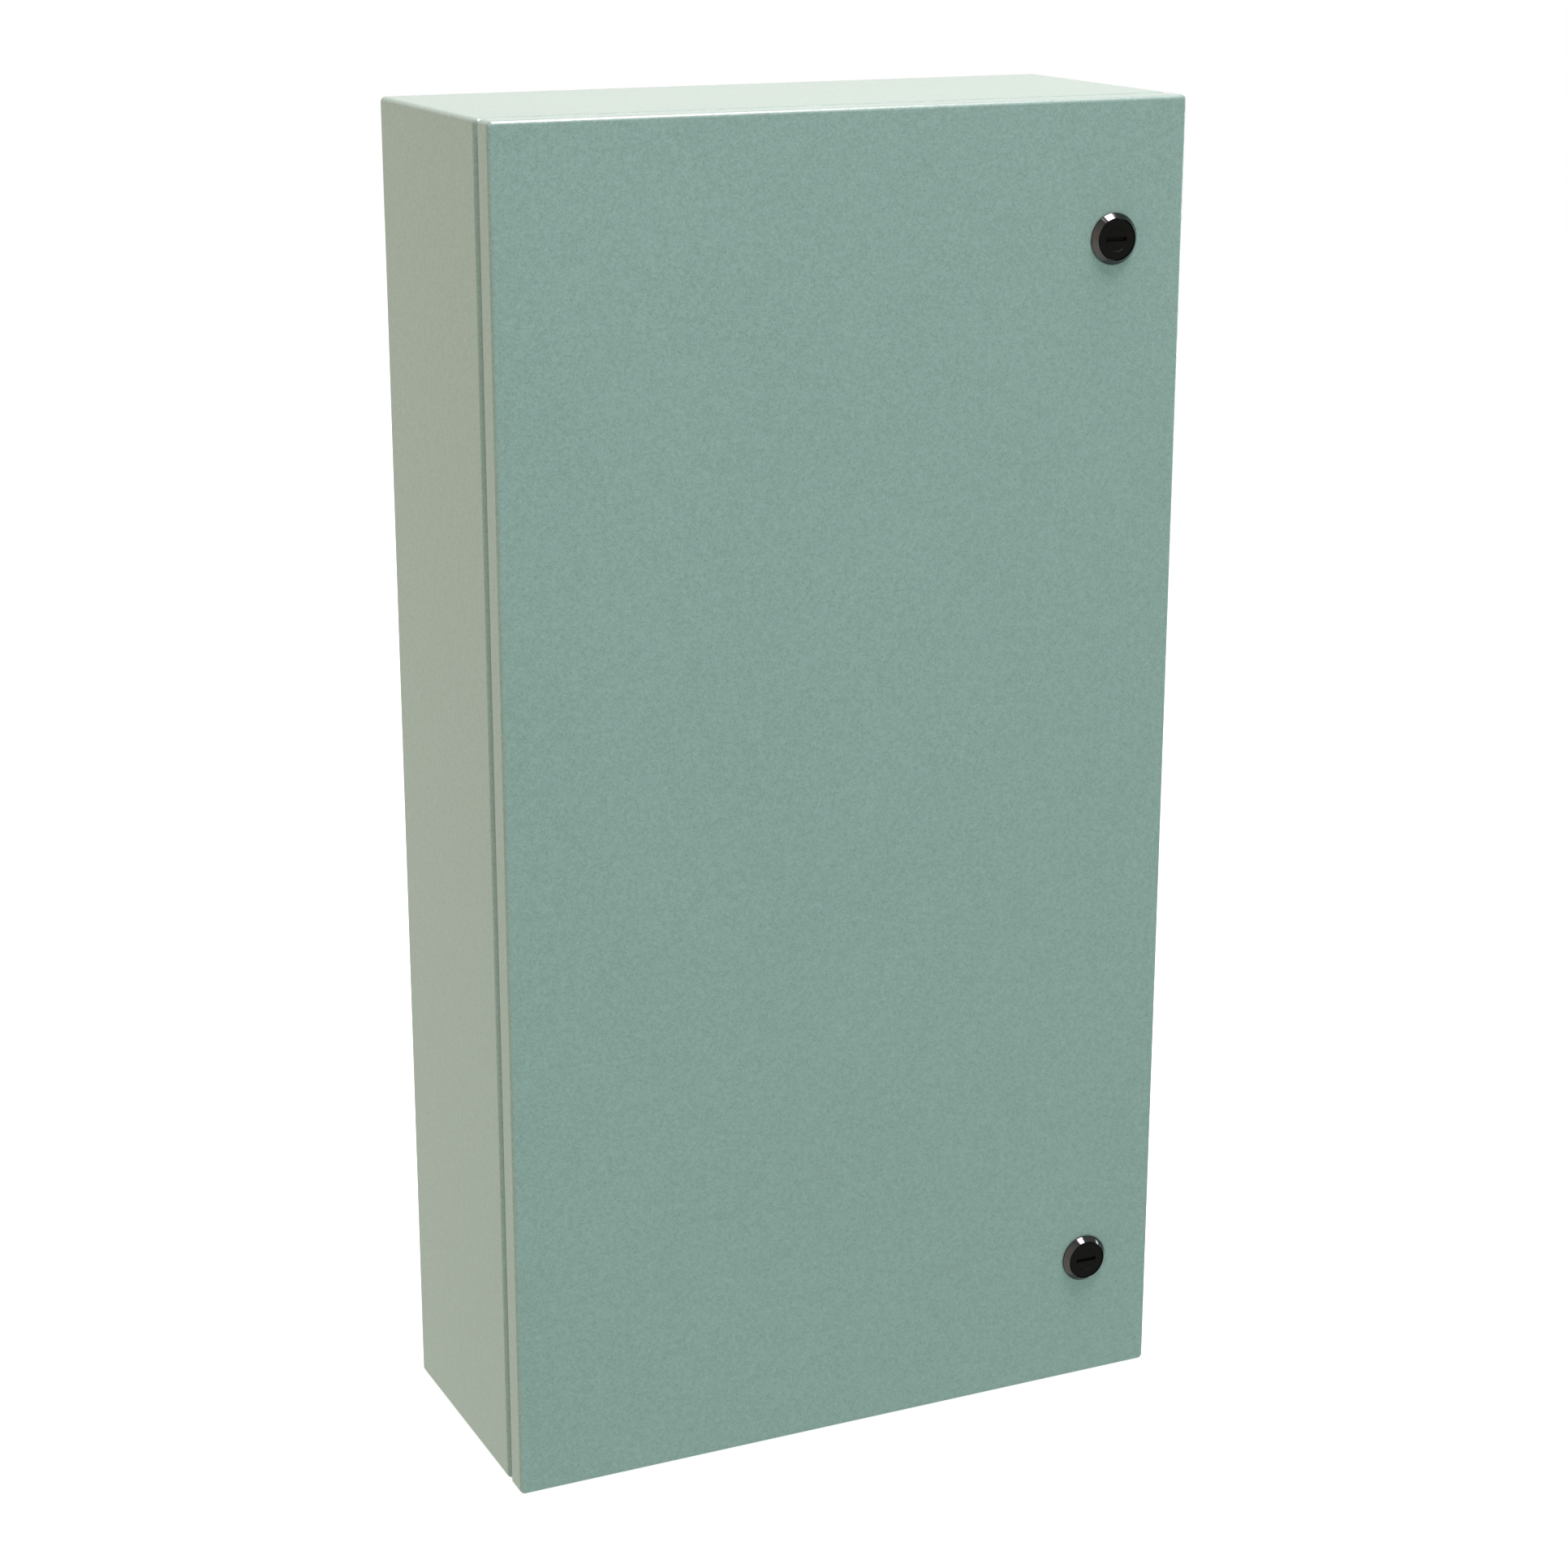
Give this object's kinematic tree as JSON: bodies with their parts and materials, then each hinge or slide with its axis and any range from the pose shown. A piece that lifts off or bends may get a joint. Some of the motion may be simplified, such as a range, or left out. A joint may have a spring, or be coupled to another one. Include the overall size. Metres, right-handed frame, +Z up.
{
  "type": "wall-mounted electrical cabinet",
  "caption": "Wall-mounted sheet-steel switchboard cabinet: a hinged door with quarter-turn latches closes on a gasketed body with a mounting panel and a gland plate.",
  "frame": {"origin": "centre of the back wall's outer face, which lies against the wall", "axes": "+X to the right of a person who faces the door, +Y into the wall, +Z up"},
  "size_m": [0.4064, 0.1758, 0.762],
  "materials": {
    "cabinet_paint": "fine-textured grey-green powder coat, satin",
    "dark_chrome": "polished black chrome",
    "black_insert": "matt black",
    "zinc_plate": "bright zinc plate",
    "galvanised_sheet": "galvanised sheet with a fine spangle",
    "brass": "plain machined",
    "black_rubber": "moulded, matt",
    "foam_seal": "foamed polyurethane with a skin, matt",
    "pocket_plastic": "moulded light grey"
  },
  "bodies": {
    "cabinet": {"enclosure_body": "cabinet_paint", "gland_plate": "cabinet_paint", "gland_plate_gasket": "foam_seal", "gland_plate_screw_1": "zinc_plate", "gland_plate_screw_2": "zinc_plate", "gland_plate_screw_3": "zinc_plate", "gland_plate_screw_4": "zinc_plate", "gland_plate_screw_5": "zinc_plate", "gland_plate_screw_6": "zinc_plate", "mounting_panel": "galvanised_sheet", "panel_stud_1": "zinc_plate", "panel_stud_2": "zinc_plate", "panel_stud_3": "zinc_plate", "panel_stud_4": "zinc_plate", "panel_nut_1": "zinc_plate", "panel_nut_2": "zinc_plate", "panel_nut_3": "zinc_plate", "panel_nut_4": "zinc_plate", "body_earth_stud": "brass", "body_earth_nut": "zinc_plate", "wall_hole_plug_1": "black_rubber", "wall_hole_plug_2": "black_rubber", "wall_hole_plug_3": "black_rubber", "wall_hole_plug_4": "black_rubber", "upper_hinge_arm": "zinc_plate", "lower_hinge_arm": "zinc_plate", "upper_hinge_pin": "zinc_plate", "lower_hinge_pin": "zinc_plate"},
    "door": {"door_panel": "cabinet_paint", "door_gasket": "foam_seal", "document_pocket": "pocket_plastic", "door_earth_stud": "brass", "door_earth_nut": "zinc_plate", "upper_hinge_leaf": "zinc_plate", "lower_hinge_leaf": "zinc_plate", "upper_latch_housing": "dark_chrome", "upper_latch_seal": "black_rubber", "upper_latch_nut": "zinc_plate", "lower_latch_housing": "dark_chrome", "lower_latch_seal": "black_rubber", "lower_latch_nut": "zinc_plate"},
    "upper_latch": {"upper_latch_insert": "black_insert", "upper_latch_cam": "zinc_plate", "upper_latch_cam_washer": "zinc_plate", "upper_latch_cam_screw": "zinc_plate"},
    "lower_latch": {"lower_latch_insert": "black_insert", "lower_latch_cam": "zinc_plate", "lower_latch_cam_washer": "zinc_plate", "lower_latch_cam_screw": "zinc_plate"}
  },
  "joints": [
    {"name": "door_hinge", "type": "hinge", "parent": "cabinet", "child": "door", "pos_m": [-0.1972, -0.1649, 0], "axis": [0, 0, -1], "range_deg": [0, 120]},
    {"name": "upper_latch_turn", "type": "hinge", "parent": "door", "child": "upper_latch", "pos_m": [0.15875, -0.1718, 0.3048], "axis": [0, -1, 0], "range_deg": [0, 90]},
    {"name": "lower_latch_turn", "type": "hinge", "parent": "door", "child": "lower_latch", "pos_m": [0.15875, -0.1718, -0.3048], "axis": [0, -1, 0], "range_deg": [0, 90]}
  ]
}
